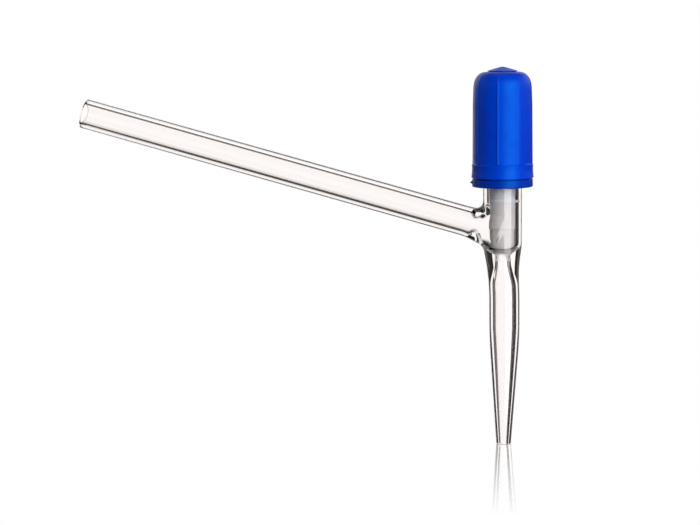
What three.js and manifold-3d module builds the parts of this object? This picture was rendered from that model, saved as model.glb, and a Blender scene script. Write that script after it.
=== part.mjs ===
// Lateral burette stopcock: a glass valve body with a side arm and a delivery jet, closed by a
// PTFE needle spindle that a screw knob drives. Millimetres, +Z up.
// Every piece is drawn in the valve's own frame, where the valve's axis is the Z axis and height
// zero is the jet's tip. The last group moves all of it, so that the origin is the centre of the
// side arm's cut end, where the burette tube holds the part.

import * as THREE from 'three';
import { mergeVertices } from 'three/addons/utils/BufferGeometryUtils.js';
import Module from 'manifold-3d';

const wasm = await Module();
wasm.setup();

// Glass: two standard tubes, 13 mm for the barrel and 10 mm for the side arm and the jet
const BARREL_R = 6.5;
const BARREL_BORE_R = 4.4;
const TUBE_R = 5;
const TUBE_BORE_R = 3.15;
const ARM_TILT = THREE.MathUtils.degToRad(15.3);
const ARM_LENGTH = 149.2;
const ARM_HEIGHT = 72;
const ARM_FLARE_START = 14;
const ARM_FLARE_BEND = 8.5;
const ARM_FLARE_END = 6.5;
const ARM_FLARE_R = 5.9;
const EDGE_ROUND = 0.4;

// Jet
const TIP_R = 2.5;
const TIP_BORE_R = 1.15;
const JET_TAPER_TOP = 36.5;
const JET_TAPER_BLEND = 6.5;
const JET_TOP = 55;
const JET_SHOULDER_R = 5.2;

// Seat: the bore narrows to a throat and opens again as a cone that the spindle's foot closes
const THROAT_R = 1.8;
const THROAT_TOP = 64.6;
const THROAT_BOTTOM = 62.6;
const NARROWING_FOOT = 53;
const NARROWING_BENDS = [58, 59.6];
const SEAT_BLEND = 0.5;
const SEAT_TOP = 68.2;
const BARREL_FOOT = 67.8;

// Threaded neck inside the knob
const NECK_R = 6.25;
const NECK_FOOT = 89;
const NECK_TOP = 109;
const PITCH = 2.5;
const NECK_THREAD_R = 7;
const NECK_THREAD_FOOT = 95.5;
const NECK_THREAD_TURNS = 4;
const RIDGE_ROOT_WIDTH = 1.1;
const RIDGE_TIP_WIDTH = 0.7;
const RIDGE_SINK = 0.4;

// Spindle
const GAP = 0.3;
const SPINDLE_R = 4.2;
const SPINDLE_FOOT_R = 3.9;
const SPINDLE_FOOT = 66.2;
const SPINDLE_FOOT_ROUND = 1.4;
const SPINDLE_STEP = 73;
const SPINDLE_SHOULDER = 110.5;
const LIP_R = 4.28;
const LIP_HEIGHT = 82.3;
const LIP_WIDTH = 1.4;
const STEM_R = 2.4;
const STEM_TOP = 118.9;
const SCREW_HOLE_R = 1.4;
const SCREW_HOLE_DEPTH = 8;
const O_RING_HEIGHTS = { lower_o_ring: 93, upper_o_ring: 98 };
const O_RING_SECTION_R = 0.6;
const O_RING_R = 3.5;
const O_RING_GROOVE_R = 2.7;
const O_RING_GROOVE_WIDTH = 1.9;

// Knob
const KNOB_FOOT_R = 9.82;
const KNOB_TOP_R = 9.6;
const KNOB_TOP = 124.9;
const KNOB_SHOULDER_ROUND = 4.2;
const KNOB_BORE_R = 7.35;
const KNOB_THREAD_R = 6.6;
const KNOB_THREAD_FOOT = 92;
const KNOB_THREAD_TURNS = 4;
const BAND_TOP_R = 10.2;
const BAND_FOOT_R = 10.36;
const BAND_TOP = 94.6;
const BAND_FOOT = 90;
const SKIRT_R = 8.9;
const SKIRT_FOOT = 88.3;
const WEB_FOOT = 112.2;
const WEB_TOP = 118.6;
const WEB_HOLE_R = 2.75;
const KNOB_TOP_HOLE_R = 4.6;
const RIB_COUNT = 8;
const RIB_PHASE = THREE.MathUtils.degToRad(-4);
const RIB_WIDTH = 0.5;
const RIB_HEIGHT = 0.18;
const RIB_DEPTH = 1.2;
const RIB_END_ANGLE = Math.PI / 4;

// Stop ring, snapped over the knob's skirt
const RING_R = 10.1;
const RING_FOOT = 87;
const RING_TOP = 89.6;
const RING_FLOOR = 0.95;
const RING_LIP_R = 6.85;
const RING_EDGE_ROUND = 0.5;
const SPLIT_WIDTH = 0.35;
const SPLIT_ANGLE = THREE.MathUtils.degToRad(-95);
const NIB_ANGLE = THREE.MathUtils.degToRad(-174);
const NIB_HEIGHT = 88.4;
const NIB_R = 0.4;
const NIB_LENGTH = 1.1;
const NIB_SINK = 0.4;

// Plug in the knob's top
const PLUG_SPIGOT_R = 4.25;
const PLUG_SPIGOT_FOOT = 122.3;
const PLUG_RIM_FOOT = 125.2;
const PLUG_RIM = 0.25;
const PLUG_R = 4.95;
const PLUG_TOP = 126.9;

// Washers and screw
const WASHER_R = 4.1;
const WASHER_THICKNESS = 0.7;
const THRUST_WASHER_R = 4.9;
const SCREW_R = 1.1;
const SCREW_HEAD_R = 2.5;
const SCREW_HEAD_HEIGHT = 1.5;
const SCREW_HEAD_ROUND = 0.5;
const SCREW_SLOT_WIDTH = 0.6;
const SCREW_SLOT_DEPTH = 0.7;

// Facets of the round shapes
const ROUND = 28;
const KNOB_ROUND = 32;
const SMALL_ROUND = 16;
const O_RING_SECTION_ROUND = 8;
const NIB_ROUND = 6;
const CURVE_STEPS = 4;
const HELIX_STEPS = 20;
const WELD = 1e-4;
const OVERSHOOT = 1;

// ---- geometry helpers ----

// Welds a closed geometry, drops the flat triangles left on the axis and turns its faces outwards.
function weld(geometry) {
  const bare = geometry.clone();
  bare.deleteAttribute('normal');
  bare.deleteAttribute('uv');
  const welded = mergeVertices(bare, WELD);
  const place = welded.attributes.position;
  const corners = [];
  const [p, q, r] = [new THREE.Vector3(), new THREE.Vector3(), new THREE.Vector3()];
  let volume = 0;
  for (let i = 0; i < welded.index.count; i += 3) {
    const [a, b, c] = [0, 1, 2].map((step) => welded.index.getX(i + step));
    if (a === b || b === c || c === a) continue;
    corners.push(a, b, c);
    p.fromBufferAttribute(place, a);
    q.fromBufferAttribute(place, b);
    r.fromBufferAttribute(place, c);
    volume += p.dot(q.cross(r));
  }
  welded.setIndex(volume < 0 ? corners.reverse() : corners);
  return welded;
}

function toSolid(geometry) {
  const welded = weld(geometry);
  return new wasm.Manifold(new wasm.Mesh({
    numProp: 3,
    vertProperties: new Float32Array(welded.attributes.position.array),
    triVerts: new Uint32Array(welded.index.array),
  }));
}

function toGeometry(solid) {
  const mesh = solid.getMesh();
  const geometry = new THREE.BufferGeometry();
  geometry.setAttribute('position', new THREE.BufferAttribute(mesh.vertProperties, 3));
  geometry.setIndex(new THREE.BufferAttribute(mesh.triVerts, 1));
  return geometry;
}

// An outline of radius and height, turned round the Z axis.
function turned(path, segments = ROUND) {
  return new THREE.LatheGeometry(path.getPoints(CURVE_STEPS), segments).rotateX(Math.PI / 2);
}

function tube(innerR, outerR, foot, top, segments = SMALL_ROUND) {
  const path = new THREE.Path();
  path.moveTo(innerR, foot);
  path.lineTo(outerR, foot);
  path.lineTo(outerR, top);
  path.lineTo(innerR, top);
  path.lineTo(innerR, foot);
  return turned(path, segments);
}

function rod(radius, foot, top, segments = SMALL_ROUND) {
  const path = new THREE.Path();
  path.moveTo(0, foot);
  path.lineTo(radius, foot);
  path.lineTo(radius, top);
  path.lineTo(0, top);
  return turned(path, segments);
}

// A ridge of trapezoid section along a right-hand helix. rootR and tipR are the radii of its wide
// and narrow sides, so the same ridge serves outside the neck and inside the knob.
function helicalRidge(rootR, tipR, foot, turns) {
  const section = [
    [rootR, -RIDGE_ROOT_WIDTH / 2], [tipR, -RIDGE_TIP_WIDTH / 2],
    [tipR, RIDGE_TIP_WIDTH / 2], [rootR, RIDGE_ROOT_WIDTH / 2],
  ];
  const steps = turns * HELIX_STEPS;
  const places = [];
  for (let i = 0; i <= steps; i += 1) {
    const turn = i / HELIX_STEPS;
    const angle = turn * 2 * Math.PI;
    for (const [radius, height] of section) {
      places.push(radius * Math.cos(angle), radius * Math.sin(angle), foot + height + turn * PITCH);
    }
  }
  const corners = [0, 1, 2, 0, 2, 3];
  const end = 4 * steps;
  corners.push(end, end + 2, end + 1, end, end + 3, end + 2);
  for (let i = 0; i < end; i += 4) {
    for (let side = 0; side < 4; side += 1) {
      const [a, b] = [i + side, i + (side + 1) % 4];
      corners.push(a, a + 4, b, b, a + 4, b + 4);
    }
  }
  const geometry = new THREE.BufferGeometry();
  geometry.setAttribute('position', new THREE.Float32BufferAttribute(places, 3));
  geometry.setIndex(corners);
  return geometry;
}

// Lays a shape turned about Z along the side arm, starting at the valve's axis.
function alongArm(geometry) {
  return geometry.rotateY(ARM_TILT - Math.PI / 2).translate(0, 0, ARM_HEIGHT);
}

// ---- glass ----

function glassOutline() {
  const path = new THREE.Path();
  path.moveTo(0, 0);
  path.lineTo(TIP_R - EDGE_ROUND, 0);
  path.quadraticCurveTo(TIP_R, 0, TIP_R, EDGE_ROUND);
  const taper = (TUBE_R - TIP_R) / (JET_TAPER_TOP - EDGE_ROUND);
  path.lineTo(TUBE_R - taper * JET_TAPER_BLEND, JET_TAPER_TOP - JET_TAPER_BLEND);
  path.quadraticCurveTo(TUBE_R, JET_TAPER_TOP, TUBE_R, JET_TAPER_TOP + JET_TAPER_BLEND);
  path.lineTo(TUBE_R, JET_TOP);
  path.quadraticCurveTo(JET_SHOULDER_R, THROAT_BOTTOM, BARREL_R, BARREL_FOOT);
  path.lineTo(BARREL_R, NECK_FOOT - (BARREL_R - NECK_R));
  path.lineTo(NECK_R, NECK_FOOT);
  path.lineTo(NECK_R, NECK_TOP - EDGE_ROUND);
  path.quadraticCurveTo(NECK_R, NECK_TOP, NECK_R - EDGE_ROUND, NECK_TOP);
  path.lineTo(0, NECK_TOP);
  return path;
}

function boreOutline() {
  const path = new THREE.Path();
  path.moveTo(0, -OVERSHOOT);
  path.lineTo(TIP_BORE_R, -OVERSHOOT);
  path.lineTo(TIP_BORE_R, 0);
  path.lineTo(TUBE_BORE_R, JET_TAPER_TOP + JET_TAPER_BLEND / 2);
  path.lineTo(TUBE_BORE_R, NARROWING_FOOT);
  const [lowerBend, upperBend] = NARROWING_BENDS;
  path.bezierCurveTo(TUBE_BORE_R, lowerBend, THROAT_R, upperBend, THROAT_R, THROAT_BOTTOM);
  path.lineTo(THROAT_R, THROAT_TOP);
  const coneTop = BARREL_BORE_R - SEAT_BLEND;
  path.lineTo(coneTop, THROAT_TOP + coneTop - THROAT_R);
  path.quadraticCurveTo(BARREL_BORE_R, THROAT_TOP + BARREL_BORE_R - THROAT_R, BARREL_BORE_R, SEAT_TOP);
  path.lineTo(BARREL_BORE_R, NECK_TOP + OVERSHOOT);
  path.lineTo(0, NECK_TOP + OVERSHOOT);
  return path;
}

function armOutline() {
  const path = new THREE.Path();
  path.moveTo(0, 0);
  path.lineTo(TUBE_R, 0);
  path.lineTo(ARM_FLARE_R, ARM_FLARE_END);
  path.quadraticCurveTo(TUBE_R, ARM_FLARE_BEND, TUBE_R, ARM_FLARE_START);
  path.lineTo(TUBE_R, ARM_LENGTH - EDGE_ROUND);
  path.quadraticCurveTo(TUBE_R, ARM_LENGTH, TUBE_R - EDGE_ROUND, ARM_LENGTH);
  path.lineTo(0, ARM_LENGTH);
  return path;
}

function glassBody() {
  const ridge = helicalRidge(NECK_R - RIDGE_SINK, NECK_THREAD_R, NECK_THREAD_FOOT, NECK_THREAD_TURNS);
  const outside = toSolid(turned(glassOutline()))
    .add(toSolid(alongArm(turned(armOutline()))))
    .add(toSolid(ridge));
  const armBore = alongArm(rod(TUBE_BORE_R, 0, ARM_LENGTH + OVERSHOOT, ROUND));
  return toGeometry(outside.subtract(toSolid(turned(boreOutline()))).subtract(toSolid(armBore)));
}

// ---- spindle and its small parts ----

function spindleOutline() {
  const path = new THREE.Path();
  const cornerR = SPINDLE_FOOT_R - SPINDLE_FOOT_ROUND;
  path.moveTo(0, SPINDLE_FOOT);
  path.lineTo(cornerR, SPINDLE_FOOT);
  path.absarc(cornerR, SPINDLE_FOOT + SPINDLE_FOOT_ROUND, SPINDLE_FOOT_ROUND, -Math.PI / 2, 0);
  path.lineTo(SPINDLE_FOOT_R, SPINDLE_STEP);
  path.lineTo(SPINDLE_R, SPINDLE_STEP + SPINDLE_R - SPINDLE_FOOT_R);
  const lipFoot = LIP_HEIGHT - LIP_WIDTH / 2;
  const lipEdge = LIP_R - SPINDLE_R;
  path.lineTo(SPINDLE_R, lipFoot);
  path.lineTo(LIP_R, lipFoot + lipEdge);
  path.lineTo(LIP_R, lipFoot + LIP_WIDTH - lipEdge);
  path.lineTo(SPINDLE_R, lipFoot + LIP_WIDTH);
  for (const height of Object.values(O_RING_HEIGHTS)) {
    const [foot, top] = [height - O_RING_GROOVE_WIDTH / 2, height + O_RING_GROOVE_WIDTH / 2];
    path.lineTo(SPINDLE_R, foot);
    path.lineTo(O_RING_GROOVE_R, foot);
    path.lineTo(O_RING_GROOVE_R, top);
    path.lineTo(SPINDLE_R, top);
  }
  path.lineTo(SPINDLE_R, SPINDLE_SHOULDER);
  path.lineTo(STEM_R, SPINDLE_SHOULDER);
  path.lineTo(STEM_R, STEM_TOP);
  path.lineTo(SCREW_HOLE_R, STEM_TOP);
  path.lineTo(SCREW_HOLE_R, STEM_TOP - SCREW_HOLE_DEPTH);
  path.lineTo(0, STEM_TOP - SCREW_HOLE_DEPTH);
  return path;
}

function oRing(height) {
  const ring = new THREE.TorusGeometry(O_RING_R, O_RING_SECTION_R, O_RING_SECTION_ROUND, SMALL_ROUND);
  return ring.translate(0, 0, height);
}

const stemWasherFoot = STEM_TOP + GAP;
const stemWasherTop = stemWasherFoot + WASHER_THICKNESS;

function stemScrew() {
  const headFoot = stemWasherTop + GAP;
  const headTop = headFoot + SCREW_HEAD_HEIGHT;
  const path = new THREE.Path();
  path.moveTo(0, STEM_TOP - SCREW_HOLE_DEPTH + GAP);
  path.lineTo(SCREW_R, STEM_TOP - SCREW_HOLE_DEPTH + GAP);
  path.lineTo(SCREW_R, headFoot);
  path.lineTo(SCREW_HEAD_R, headFoot);
  path.lineTo(SCREW_HEAD_R, headTop - SCREW_HEAD_ROUND);
  path.quadraticCurveTo(SCREW_HEAD_R, headTop, SCREW_HEAD_R - SCREW_HEAD_ROUND, headTop);
  path.lineTo(0, headTop);
  const slotLength = 2 * SCREW_HEAD_R + OVERSHOOT;
  const slot = new THREE.BoxGeometry(slotLength, SCREW_SLOT_WIDTH, 2 * SCREW_SLOT_DEPTH);
  slot.translate(0, 0, headTop);
  return toGeometry(toSolid(turned(path, SMALL_ROUND)).subtract(toSolid(slot)));
}

// ---- knob ----

// The knob's wall above the band, from its foot to the flat top. standOff widens it for the ribs.
function drawKnobSide(path, standOff) {
  const cornerR = KNOB_TOP_R - KNOB_SHOULDER_ROUND;
  const cornerHeight = KNOB_TOP - KNOB_SHOULDER_ROUND;
  path.lineTo(KNOB_FOOT_R + standOff, BAND_TOP);
  path.lineTo(KNOB_TOP_R + standOff, cornerHeight);
  path.absarc(cornerR, cornerHeight, KNOB_SHOULDER_ROUND + standOff, 0, Math.PI / 2);
}

function knobOutline() {
  const path = new THREE.Path();
  path.moveTo(KNOB_BORE_R, SKIRT_FOOT);
  path.lineTo(SKIRT_R, SKIRT_FOOT);
  path.lineTo(SKIRT_R, BAND_FOOT);
  path.lineTo(BAND_FOOT_R, BAND_FOOT);
  path.lineTo(BAND_TOP_R, BAND_TOP);
  drawKnobSide(path, 0);
  path.lineTo(KNOB_TOP_HOLE_R, KNOB_TOP);
  path.lineTo(KNOB_TOP_HOLE_R, WEB_TOP);
  path.lineTo(WEB_HOLE_R, WEB_TOP);
  path.lineTo(WEB_HOLE_R, WEB_FOOT);
  path.lineTo(KNOB_BORE_R, WEB_FOOT);
  path.lineTo(KNOB_BORE_R, SKIRT_FOOT);
  return path;
}

// One grip rib: it follows the knob's side and fades into the rounded shoulder.
function rib(angle) {
  const shape = new THREE.Shape();
  shape.moveTo(KNOB_FOOT_R - RIB_DEPTH, BAND_TOP);
  shape.lineTo(KNOB_FOOT_R + RIB_HEIGHT, BAND_TOP);
  shape.lineTo(KNOB_TOP_R + RIB_HEIGHT, KNOB_TOP - KNOB_SHOULDER_ROUND);
  const cornerR = KNOB_TOP_R - KNOB_SHOULDER_ROUND;
  const cornerHeight = KNOB_TOP - KNOB_SHOULDER_ROUND;
  shape.absarc(cornerR, cornerHeight, KNOB_SHOULDER_ROUND + RIB_HEIGHT, 0, RIB_END_ANGLE);
  shape.lineTo(cornerR, cornerHeight);
  const geometry = new THREE.ExtrudeGeometry(shape, {
    depth: RIB_WIDTH, bevelEnabled: false, curveSegments: CURVE_STEPS,
  });
  return geometry.translate(0, 0, -RIB_WIDTH / 2).rotateX(Math.PI / 2).rotateZ(angle);
}

function knob() {
  let solid = toSolid(turned(knobOutline(), KNOB_ROUND));
  for (let i = 0; i < RIB_COUNT; i += 1) {
    solid = solid.add(toSolid(rib(RIB_PHASE + i * 2 * Math.PI / RIB_COUNT)));
  }
  // The knob's ridge runs half a pitch from the neck's, in the middle of its groove.
  const foot = KNOB_THREAD_FOOT + (NECK_THREAD_FOOT - KNOB_THREAD_FOOT + PITCH / 2) % PITCH;
  const ridge = helicalRidge(KNOB_BORE_R + RIDGE_SINK, KNOB_THREAD_R, foot, KNOB_THREAD_TURNS);
  return toGeometry(solid.add(toSolid(ridge)));
}

function stopRing() {
  const path = new THREE.Path();
  path.moveTo(RING_LIP_R, RING_FOOT);
  path.lineTo(RING_R - RING_EDGE_ROUND, RING_FOOT);
  path.quadraticCurveTo(RING_R, RING_FOOT, RING_R, RING_FOOT + RING_EDGE_ROUND);
  path.lineTo(RING_R, RING_TOP);
  path.lineTo(SKIRT_R + GAP, RING_TOP);
  path.lineTo(SKIRT_R + GAP, RING_FOOT + RING_FLOOR);
  path.lineTo(RING_LIP_R, RING_FOOT + RING_FLOOR);
  path.lineTo(RING_LIP_R, RING_FOOT);
  const split = new THREE.BoxGeometry(RING_R, SPLIT_WIDTH, 2 * (RING_TOP - RING_FOOT));
  split.translate(RING_R, 0, RING_FOOT).rotateZ(SPLIT_ANGLE);
  const nib = new THREE.ConeGeometry(NIB_R, NIB_LENGTH, NIB_ROUND).rotateZ(-Math.PI / 2);
  nib.translate(RING_R + NIB_LENGTH / 2 - NIB_SINK, 0, NIB_HEIGHT).rotateZ(NIB_ANGLE);
  return toGeometry(toSolid(turned(path, KNOB_ROUND)).subtract(toSolid(split)).add(toSolid(nib)));
}

function knobPlug() {
  const path = new THREE.Path();
  path.moveTo(0, PLUG_SPIGOT_FOOT);
  path.lineTo(PLUG_SPIGOT_R, PLUG_SPIGOT_FOOT);
  path.lineTo(PLUG_SPIGOT_R, PLUG_RIM_FOOT);
  path.lineTo(PLUG_R, PLUG_RIM_FOOT);
  path.lineTo(PLUG_R, PLUG_RIM_FOOT + PLUG_RIM);
  path.lineTo(0, PLUG_TOP);
  return turned(path, SMALL_ROUND);
}

// ---- assembly ----

const glass = new THREE.MeshStandardMaterial({
  color: '#eef3f4', roughness: 0.02, metalness: 0, transparent: true, opacity: 0.35,
});
const ptfe = new THREE.MeshStandardMaterial({ color: '#dedcda', roughness: 0.45, metalness: 0 });
const bluePlastic = new THREE.MeshStandardMaterial({ color: '#0a48c4', roughness: 0.35, metalness: 0 });
const rubber = new THREE.MeshStandardMaterial({ color: '#1c1c1e', roughness: 0.7, metalness: 0 });
const steel = new THREE.MeshStandardMaterial({ color: '#b9bcc0', roughness: 0.3, metalness: 1 });

const valve = new THREE.Group();
valve.position.set(ARM_LENGTH * Math.cos(ARM_TILT), 0, -ARM_HEIGHT - ARM_LENGTH * Math.sin(ARM_TILT));

function addPiece(name, geometry, material) {
  const mesh = new THREE.Mesh(weld(geometry), material);
  mesh.name = name;
  valve.add(mesh);
}

addPiece('glass_body', glassBody(), glass);
addPiece('spindle', turned(spindleOutline()), ptfe);
for (const [name, height] of Object.entries(O_RING_HEIGHTS)) {
  addPiece(name, oRing(height), rubber);
}
const thrustWasher = tube(STEM_R + GAP, THRUST_WASHER_R, SPINDLE_SHOULDER + GAP, WEB_FOOT - GAP);
addPiece('thrust_washer', thrustWasher, ptfe);
addPiece('stem_washer', tube(SCREW_HOLE_R, WASHER_R, stemWasherFoot, stemWasherTop), steel);
addPiece('stem_screw', stemScrew(), steel);
addPiece('knob', knob(), bluePlastic);
addPiece('stop_ring', stopRing(), bluePlastic);
addPiece('knob_plug', knobPlug(), bluePlastic);

const group = new THREE.Group();
group.add(valve);

export default group;
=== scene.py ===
"""Lateral burette stopcock: a clear glass valve body with a side arm and a jet, a PTFE needle
spindle and a ribbed blue screw knob, on a white studio floor.

Lengths of the object are millimetres in the valve's own frame, mostly as (radius from the valve's
axis, height above the jet's tip). world() turns points into the frame's metres. Lengths in the
materials and in the studio are metres.
"""

import math

import bmesh
import bpy
import numpy as np
from mathutils import Matrix, Vector

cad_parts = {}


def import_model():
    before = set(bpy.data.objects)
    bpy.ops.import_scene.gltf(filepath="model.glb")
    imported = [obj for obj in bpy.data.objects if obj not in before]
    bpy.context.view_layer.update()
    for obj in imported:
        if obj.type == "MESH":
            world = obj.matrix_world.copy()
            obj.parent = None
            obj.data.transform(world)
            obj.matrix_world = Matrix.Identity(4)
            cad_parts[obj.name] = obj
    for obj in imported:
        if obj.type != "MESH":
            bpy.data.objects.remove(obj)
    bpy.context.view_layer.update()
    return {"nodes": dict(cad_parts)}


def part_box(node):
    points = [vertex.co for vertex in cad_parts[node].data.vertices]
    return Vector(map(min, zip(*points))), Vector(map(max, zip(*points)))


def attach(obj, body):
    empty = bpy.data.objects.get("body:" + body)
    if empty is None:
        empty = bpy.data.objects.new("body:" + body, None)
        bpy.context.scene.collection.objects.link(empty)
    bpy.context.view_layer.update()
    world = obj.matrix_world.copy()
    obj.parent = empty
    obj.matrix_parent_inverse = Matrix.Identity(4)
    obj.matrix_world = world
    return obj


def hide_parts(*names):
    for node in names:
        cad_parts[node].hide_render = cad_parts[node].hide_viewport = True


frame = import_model()

MM = 0.001
AXIS_X = sum(corner.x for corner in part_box("knob_plug")) / 2 / MM
TIP_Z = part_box("glass_body")[0].z / MM

# Radii closer than this count as the same
SAME_R = 0.01

# Glass tubes
BARREL_R = 6.5
BARREL_BORE_R = 4.4
TUBE_R = 5.1
TUBE_BORE_R = 3.15
NECK_R = 6.25
NECK_FOOT = 89.0
NECK_CHAMFER = 1.0
NECK_TOP = 109.0
EDGE_ROUND = 0.4

# Jet, fused on a little beside the barrel's axis
TIP_R = 2.5
TIP_BORE_R = 1.15
JET_TAPER_TOP = 36.5
JET_TAPER_BLEND = 6.5
JET_BORE_TAPER_TOP = 39.5
JET_OFFSET = 0.62
JET_OFFSET_TOP, JET_OFFSET_DROP = 66, 18
JET_LEAN = 0.5
JET_LEAN_TOP, JET_LEAN_DROP = 40, 50

# Control points of the curves between the jet and the barrel: one outside, three in the bore
SHOULDER = ((TUBE_R, 54), (TUBE_R + 0.1, 62.3), (BARREL_R, 64.6), (BARREL_R, 68.8))
FUNNEL = ((TUBE_BORE_R, 53), (TUBE_BORE_R, 56.5), (2.0, 58.5), (1.9, 62.8))
THROAT = ((1.8, 63.8), (1.8, 64.7), (2.4, 65.2))
SEAT = ((3.8, 66.6), (BARREL_BORE_R, 67.2), (BARREL_BORE_R, 68.6))

# The glass is ground matt this far from the middle of the seat
GROUND_MIDDLE = 66.0
GROUND_REACH = 4.0

# Side arm
ARM_TILT = math.radians(15.3)
ARM_LENGTH = 149.2
ARM_HEIGHT = 72.0
ARM_END_ROUND = 0.06
ARM_ROOT = 1.0
ARM_START = 17.0
ARM_BORE_START = 13.0
FLARE_START = 13.5
FLARE_BEND = 4.0

# Where the arm meets the barrel: its flare at the top and foot, its fillet at the top and foot
OUTER_FUSION = (0.12, 0.22, 2.7, 1.6)
BORE_FUSION = (0.05, 0.3, 2.6, 1.6)

# Drops of glass in the arm's bore: middle, reach and height. Middle and reach are along the arm,
# along the Y axis and up from the arm's axis
UPPER_BEAD = ((9.6, 0.0, 2.5), (0.95, 1.7, 2.6), 1.6)
LOWER_BEAD = ((8.4, 0.0, -3.0), (1.4, 2.5, 2.0), 1.7)

# The glass body's mesh: columns round it, and the square windows that the arm grows from
COLUMNS = 96
WINDOW = 40
WINDOW_LEFT = (COLUMNS - WINDOW) // 2
PERIMETER = 4 * WINDOW
OUTER_WINDOW_FOOT, OUTER_WINDOW_TOP = 63.5, 84.0
INNER_WINDOW_FOOT, INNER_WINDOW_TOP = 66.6, 79.6

# Thread of the neck and the knob
PITCH = 2.5
RIDGE_WIDTH = 1.3
RIDGE_HEIGHT = 0.75
NECK_THREAD = (95.5, 105.5)
KNOB_THREAD = (92.0, 102.0)

# Spindle
SPINDLE_R = 4.2
SPINDLE_FOOT_R = 3.92
SPINDLE_FOOT = 65.95
SPINDLE_STEP = 73.0
SPINDLE_STEP_RISE = 0.25
SPINDLE_LINE = 77.4
SPINDLE_LINE_DEPTH = 0.06
SPINDLE_LINE_HALF = 0.15
SPINDLE_SHOULDER = 110.5
LIP_R = 4.42
LIP_FOOT, LIP_TOP = 81.6, 83.0
LIP_SLOPE = 0.3
LIP_TOUCH_ANGLE = math.radians(-20)
LIP_TOUCH_SPREAD = math.radians(42)
LIP_CLEARANCE = 0.1
O_RING_HEIGHTS = (93.0, 98.0)
O_RING_GROOVE_R = 2.7
O_RING_GROOVE_WIDTH = 1.9
STEM_R = 2.4
STEM_TOP = 118.9
SCREW_HOLE_R = 1.4
SCREW_HOLE_FOOT = 110.9

# Knob
KNOB_FOOT_R = 9.82
KNOB_WAIST_R = 9.7
KNOB_WAIST = 114.0
KNOB_TOP_R = 5.4
KNOB_TOP = 125.05
KNOB_DOME = ((9.52, 119.4), (9.4, 122.9), (8.2, KNOB_TOP), (KNOB_TOP_R, KNOB_TOP))
KNOB_BORE_R = 7.35
BAND_FOOT_R = 10.36
BAND_FOOT = 90.0
BAND_WAIST_R = 10.1
BAND_WAIST = 92.6
BAND_TOP_R = 10.2
BAND_TOP = 94.6
SKIRT_R = 8.9
SKIRT_FOOT = 88.3
WEB_FOOT = 112.2
WEB_TOP = 118.6
WEB_HOLE_R = 2.75
KNOB_TOP_HOLE_R = 4.6

# Ribs of the knob and the panels between them. A flatness of 0 leaves a panel round, and 1 would
# make it flat
RIB_COUNT = 8
RIB_SECTOR = 2 * math.pi / RIB_COUNT
RIB_PHASE = math.radians(-4)
RIB_WIDTH = 0.5
RIB_HEIGHT = 0.17
PANEL_FLATNESS = 0.22
PANEL_SINK = 0.25
PANEL_FOOT = BAND_TOP + 0.1
PANEL_TOP = KNOB_TOP - 0.8
PANEL_FADE = 2.5

# Stop ring, split open on one side, with the stub of a moulding bridge on another
RING_R = 10.1
RING_LIP_R = 6.85
RING_CHANNEL_R = SKIRT_R + 0.3
RING_FOOT = 87.0
RING_FLOOR = 87.95
RING_TOP = 89.6
RING_COLUMNS = 360
SPLIT_WIDTH = 0.06
SPLIT_ANGLE = math.radians(-95)
NIB_ANGLE = math.radians(-171)
NIB_HEIGHT = 88.5
NIB_REACH = 0.75
NIB_SPREAD = 0.36

# Plug in the knob's top
PLUG_R = 4.95
PLUG_SPIGOT_R = 4.25
PLUG_SPIGOT_FOOT = 122.3
PLUG_RIM_FOOT = 125.2
PLUG_RIM_TOP = 125.45
PLUG_PEAK_R = 0.9
PLUG_PEAK_FOOT = 126.65
PLUG_TOP = 126.78

# Colours, each as the darkest and the lightest that its noise reaches
PTFE_WHITE = ((0.51, 0.48, 0.475), (0.57, 0.545, 0.54))
KNOB_BLUE = ((0.0, 0.034, 0.55), (0.0, 0.044, 0.62))
# Painted shade: the stop ring's blue is the knob's blue made darker, for the lesser light on its
# downward-rounded outside
PAINTED_SHADE_RING_BLUE = ((0.0, 0.025, 0.36), (0.0, 0.031, 0.41))
RUBBER_BLACK = ((0.02, 0.02, 0.022), (0.04, 0.04, 0.043))
STEEL_GREY = ((0.6, 0.61, 0.62), (0.75, 0.76, 0.77))

# Other looks: plain white, the key light that the glass lets through, the ground glass's
# roughness and the plastic's shine
WHITE = (1, 1, 1, 1)
GLASS_SHADOW = (0.88, 0.88, 0.88, 1)
GROUND_ROUGHNESS = 0.45
PLASTIC_SHINE = (0.03, 0.5, 1.0, 1)

# Painted reflection: the knob's blue light on the spindle, painted into the PTFE's colour as a tint that
# grows between these heights
PAINTED_BLUE_REFLECTION = (0.94, 0.99, 1.16, 1)
PAINTED_BLUE_REFLECTION_FOOT, PAINTED_BLUE_REFLECTION_TOP = 78.0, 86.0

# Floor: how much it mirrors below the jet, and the distances from there where that starts and
# stops fading
FLOOR_HALF = 3.0
FLOOR_DROP = 0.05
MIRROR = 0.62
MIRROR_FADE = (0.02, 0.1)
MIRROR_ROUGHNESS = 0.04

# What the glass and the knob see round them: azimuth from, azimuth to, elevation from, elevation
# to, light. Azimuth 0 is behind the object and 90 on its left. A later card covers an earlier one,
# and DIM is the light where there is no card
CARDS = (
    (-75, -18, -90, 90, 0.008),
    (-105, -75, -90, 60, 0.2),
    (38, 52, -90, 60, 0.02),
    (52, 75, -90, 60, 0.12),
    (78, 105, -40, 40, 0.3),
    (-160, -110, -12, 45, 0.2),
    (-160, -110, -45, -12, 0.5),
    (38, 68, -45, -14, 1.0),
    (38, 68, 14, 45, 1.0),
    (-18, 38, -40, 38, 1.1),
    (-180, 180, 62, 90, 0.6),
    (-180, 180, -90, -75, 0.4),
)
CARD_TINT = (1.0, 0.95, 0.935, 1)
DIM = 0.1

# Between the second elevation and the first, the cards darken to this share of their light
FALL_OFF = (-43, -14)
FALL_OFF_LIGHT = 0.6

# Middle and half-width of the band of elevations that the floor mirrors
MIRROR_RAYS = (18, 16)

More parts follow.
